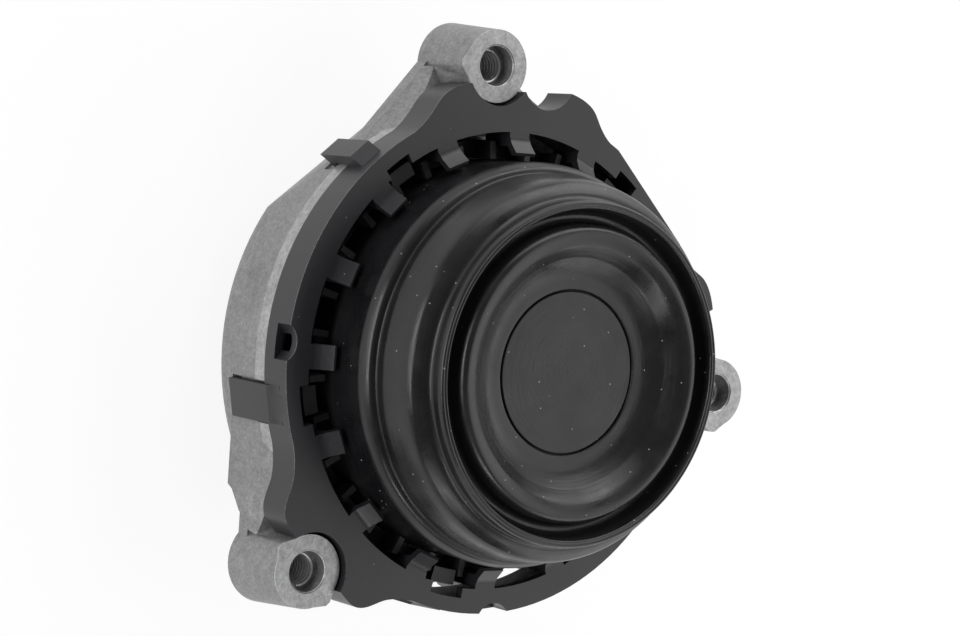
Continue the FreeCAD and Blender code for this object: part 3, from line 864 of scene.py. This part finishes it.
class MOUNT_OT_lug_threads(bpy.types.Operator):
    """Winds the thread ridges in the bores of the lugs"""

    bl_idname = "mount.lug_threads"
    bl_label = "Lug threads"

    def execute(self, context):
        sizes = context.scene.mount_sizes
        finish = plain_metal("cut_thread", tuple(context.scene.mount_colours.thread))
        for count, angle in enumerate(LUG_ANGLES, 1):
            x = LUG_CIRCLE * MM * math.cos(math.radians(angle))
            y = LUG_CIRCLE * MM * math.sin(math.radians(angle))
            name = "lug_thread_%d" % count
            made = thread_ridge(name, LUG_THREAD, sizes.lug_pitch, x, y, finish)
            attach(made, "root")
        return {"FINISHED"}


class MOUNT_OT_retaining_ring(bpy.types.Operator):
    """Rounds the retaining ring's edges and finishes it as moulded plastic"""

    bl_idname = "mount.retaining_ring"
    bl_label = "Retaining ring"

    def execute(self, context):
        sizes = context.scene.mount_sizes
        finish = ring_plastic(context.scene.mount_colours)
        made = rounded_copy("retaining_ring", "retaining_ring_finished", sizes.plastic_edge, finish)
        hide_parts("retaining_ring")
        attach(made, "root")
        return {"FINISHED"}


class MOUNT_OT_clamp_ring(bpy.types.Operator):
    """Rounds the clamp ring's ribs and hooks and finishes it as moulded plastic"""

    bl_idname = "mount.clamp_ring"
    bl_label = "Clamp ring"

    def execute(self, context):
        sizes = context.scene.mount_sizes
        finish = plain_plastic("clamp_plastic", tuple(context.scene.mount_colours.clamp))
        made = rounded_copy("clamp_ring", "clamp_ring_finished", sizes.plastic_edge, finish)
        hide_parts("clamp_ring")
        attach(made, "root")
        return {"FINISHED"}


class MOUNT_OT_bellows(bpy.types.Operator):
    """Turns the bellows with its rolls, lips and grooves"""

    bl_idname = "mount.bellows"
    bl_label = "Bellows"

    def execute(self, context):
        sizes = context.scene.mount_sizes
        rgb = tuple(context.scene.mount_colours.bellows)
        finish = rubber("bellows_skin", rgb, dusty=True)
        outline = [(r, z + LUG_HEIGHT) for r, z in BELLOWS_OUTSIDE + BELLOWS_INSIDE]
        host = outline_host("bellows_outline", outline)
        values = {
            "Facets": sizes.bellows_facets, "Steps": sizes.bellows_steps,
            "Path Radius": PATH_RADIUS, "Material": finish,
        }
        mesh = grown(host, turned_skin_tree(), values)
        outward(mesh)
        made = shown("bellows_finished", mesh, finish)
        mesh.shade_smooth()
        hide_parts("bellows")
        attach(made, "root")
        return {"FINISHED"}


class MOUNT_OT_inner_pieces(bpy.types.Operator):
    """Finishes the plates, the membrane, the rings and the rubber spring"""

    bl_idname = "mount.inner_pieces"
    bl_label = "Inner pieces"

    def execute(self, context):
        colours = context.scene.mount_colours
        plates = plain_metal("die_cast_metal", tuple(colours.plates))
        dress("channel_plate_upper", plates)
        dress("channel_plate_lower", plates)
        spring = tuple(colours.spring)
        dress("decoupler_membrane", rubber("membrane_skin", spring, dusty=False))
        dress("rubber_spring", rubber("spring_skin", spring, dusty=False))
        steel = plain_metal("plated_steel", tuple(colours.steel))
        dress("bead_ring", steel)
        dress("support_ring", steel)
        return {"FINISHED"}


class MOUNT_OT_core(bpy.types.Operator):
    """Rounds the core's edges and winds its thread"""

    bl_idname = "mount.core"
    bl_label = "Core"

    def execute(self, context):
        sizes = context.scene.mount_sizes
        finish = plain_metal("die_cast_metal", tuple(context.scene.mount_colours.plates))
        made = rounded_copy("core", "core_finished", sizes.core_edge, finish)
        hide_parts("core")
        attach(made, "root")
        name = "core_thread_ridges"
        thread = thread_ridge(name, CORE_THREAD, sizes.core_pitch, 0.0, 0.0, finish)
        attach(thread, "root")
        return {"FINISHED"}


# Stage

# The camera that fits the photograph: its right, up and back, its place in metres, and its
# lens and sensor in millimetres
VIEW_RIGHT = Vector((0.6225, -0.5148, 0.5896))
VIEW_UP = Vector((0.6825, 0.7257, -0.0870))
VIEW_BACK = Vector((-0.3831, 0.4566, 0.8030))
CAMERA_PLACE = Vector((-0.3211, 0.4019, 0.7327))
LENS = 103.6
SENSOR_WIDTH = 36.0
CLIP_END = 20.0

# Soft lights: name, place seen from the middle along the picture's right, up and back in
# metres, way that the height runs along, width and height in metres, and brightness
MIDDLE = Vector((0.0, 0.0, 0.052))
LIGHTS = (
    ("left_light", (-0.62, 0.1, 0.8), VIEW_UP, (0.25, 0.8), 7.4),
    ("right_light", (0.95, -0.15, 0.0), VIEW_UP, (1.0, 0.9), 1.35),
    ("upper_right_light", (0.8, 0.75, 0.0), VIEW_UP, (1.0, 0.6), 2.6),
    ("lower_right_light", (0.6, -0.8, -0.1), VIEW_UP, (0.8, 0.5), 1.8),
    ("top_light", (0.3, 0.92, 0.3), VIEW_BACK, (0.7, 0.5), 2.3),
    ("low_light", (0.1, -0.85, 0.6), VIEW_BACK, (0.8, 0.16), 5.5),
)

# Light from all round, and the colour of it and of the floor's glow
WORLD_LEVEL = 0.14
WHITE = (1.0, 1.0, 1.0, 1.0)

# Floor: how far it reaches in metres, level of its glow, and share of the glow in what the
# camera and reflections see
FLOOR_REACH = 6.0
FLOOR_GLOW = 1.08
FLOOR_GLOW_SHARE = 0.8


def stand(obj, place, right, up, back):
    """Adds an object to the scene at a place, with its own axes along three ways."""
    turn = Matrix((right, up, back)).transposed().to_4x4()
    obj.matrix_world = Matrix.Translation(place) @ turn
    bpy.context.scene.collection.objects.link(obj)


def soft_light(name, way, upward, size, level):
    """A rectangular light that faces the middle."""
    data = bpy.data.lights.new(name, "AREA")
    data.shape = "RECTANGLE"
    data.size, data.size_y = size
    data.energy = level * math.pi * size[0] * size[1]
    away = VIEW_RIGHT * way[0] + VIEW_UP * way[1] + VIEW_BACK * way[2]
    back = away.normalized()
    side = upward.cross(back).normalized()
    stand(bpy.data.objects.new(name, data), MIDDLE + away, side, back.cross(side), back)


def floor_material(rgb):
    """A pale floor that shows almost white to the camera and in reflections."""
    material = bpy.data.materials.new("studio_floor")
    material.use_nodes = True
    tree = material.node_tree
    tree.nodes.clear()
    out = node(tree, "ShaderNodeOutputMaterial", 600, 0)
    plain = node(tree, "ShaderNodeBsdfDiffuse", 0, 100)
    plain.inputs["Color"].default_value = (*rgb, 1.0)
    glow = node(tree, "ShaderNodeEmission", 0, -100)
    glow.inputs["Color"].default_value = WHITE
    glow.inputs["Strength"].default_value = FLOOR_GLOW
    rays = node(tree, "ShaderNodeLightPath", -400, 200).outputs
    either = combined(tree, "MAXIMUM", rays["Is Camera Ray"], rays["Is Glossy Ray"], -200, 200)
    share = node(tree, "ShaderNodeMath", 0, 300, operation="MULTIPLY")
    share.inputs[1].default_value = FLOOR_GLOW_SHARE
    link(tree, either, share.inputs[0])
    mix = node(tree, "ShaderNodeMixShader", 300, 0)
    link(tree, share.outputs[0], mix.inputs[0])
    link(tree, plain.outputs[0], mix.inputs[1])
    link(tree, glow.outputs[0], mix.inputs[2])
    link(tree, mix.outputs[0], out.inputs[0])
    return material


class MOUNT_OT_stage(bpy.types.Operator):
    """Sets the floor, the soft lights and the camera"""

    bl_idname = "mount.stage"
    bl_label = "Stage"

    def execute(self, context):
        scene = context.scene
        mesh = bpy.data.meshes.new("floor")
        corners = [
            (x * FLOOR_REACH, y * FLOOR_REACH, 0.0)
            for x, y in ((-1, -1), (1, -1), (1, 1), (-1, 1))
        ]
        mesh.from_pydata(corners, [], [(0, 1, 2, 3)])
        floor = shown("floor", mesh, floor_material(tuple(scene.mount_colours.floor)))
        for light in LIGHTS:
            soft_light(*light)
        world = bpy.data.worlds.new("studio")
        world.use_nodes = True
        back = world.node_tree.nodes["Background"]
        back.inputs["Color"].default_value = WHITE
        back.inputs["Strength"].default_value = WORLD_LEVEL
        scene.world = world
        data = bpy.data.cameras.new("camera")
        data.lens = LENS
        data.sensor_width = SENSOR_WIDTH
        data.sensor_fit = "HORIZONTAL"
        data.clip_end = CLIP_END
        camera = bpy.data.objects.new("camera", data)
        stand(camera, CAMERA_PLACE, VIEW_RIGHT, VIEW_UP, VIEW_BACK)
        scene.camera = camera
        scene.view_settings.view_transform = "Standard"
        return {"FINISHED"}


class MOUNT_PT_pieces(bpy.types.Panel):
    """Lists the pieces and their sizes and colours"""

    bl_idname = "MOUNT_PT_pieces"
    bl_label = "Engine mount"
    bl_space_type = "VIEW_3D"
    bl_region_type = "UI"
    bl_category = "Engine mount"

    def draw(self, context):
        layout = self.layout
        for piece in PIECES:
            layout.operator(piece.bl_idname)
        for settings in (context.scene.mount_sizes, context.scene.mount_colours):
            box = layout.box()
            for key in settings.__annotations__:
                box.prop(settings, key)


PIECES = (
    MOUNT_OT_casting,
    MOUNT_OT_lug_threads,
    MOUNT_OT_retaining_ring,
    MOUNT_OT_clamp_ring,
    MOUNT_OT_bellows,
    MOUNT_OT_inner_pieces,
    MOUNT_OT_core,
    MOUNT_OT_stage,
)
CLASSES = (MountSizes, MountColours, *PIECES, MOUNT_PT_pieces)


def register():
    """Adds the classes and the settings to the session."""
    for kind in CLASSES:
        bpy.utils.register_class(kind)
    bpy.types.Scene.mount_sizes = PointerProperty(type=MountSizes)
    bpy.types.Scene.mount_colours = PointerProperty(type=MountColours)


def unregister():
    """Takes the settings and the classes out again."""
    del bpy.types.Scene.mount_colours
    del bpy.types.Scene.mount_sizes
    for kind in reversed(CLASSES):
        bpy.utils.unregister_class(kind)


def main():
    """Builds the whole scene."""
    register()
    bpy.ops.mount.casting()
    bpy.ops.mount.lug_threads()
    bpy.ops.mount.retaining_ring()
    bpy.ops.mount.clamp_ring()
    bpy.ops.mount.bellows()
    bpy.ops.mount.inner_pieces()
    bpy.ops.mount.core()
    bpy.ops.mount.stage()


if __name__ == "__main__":
    main()
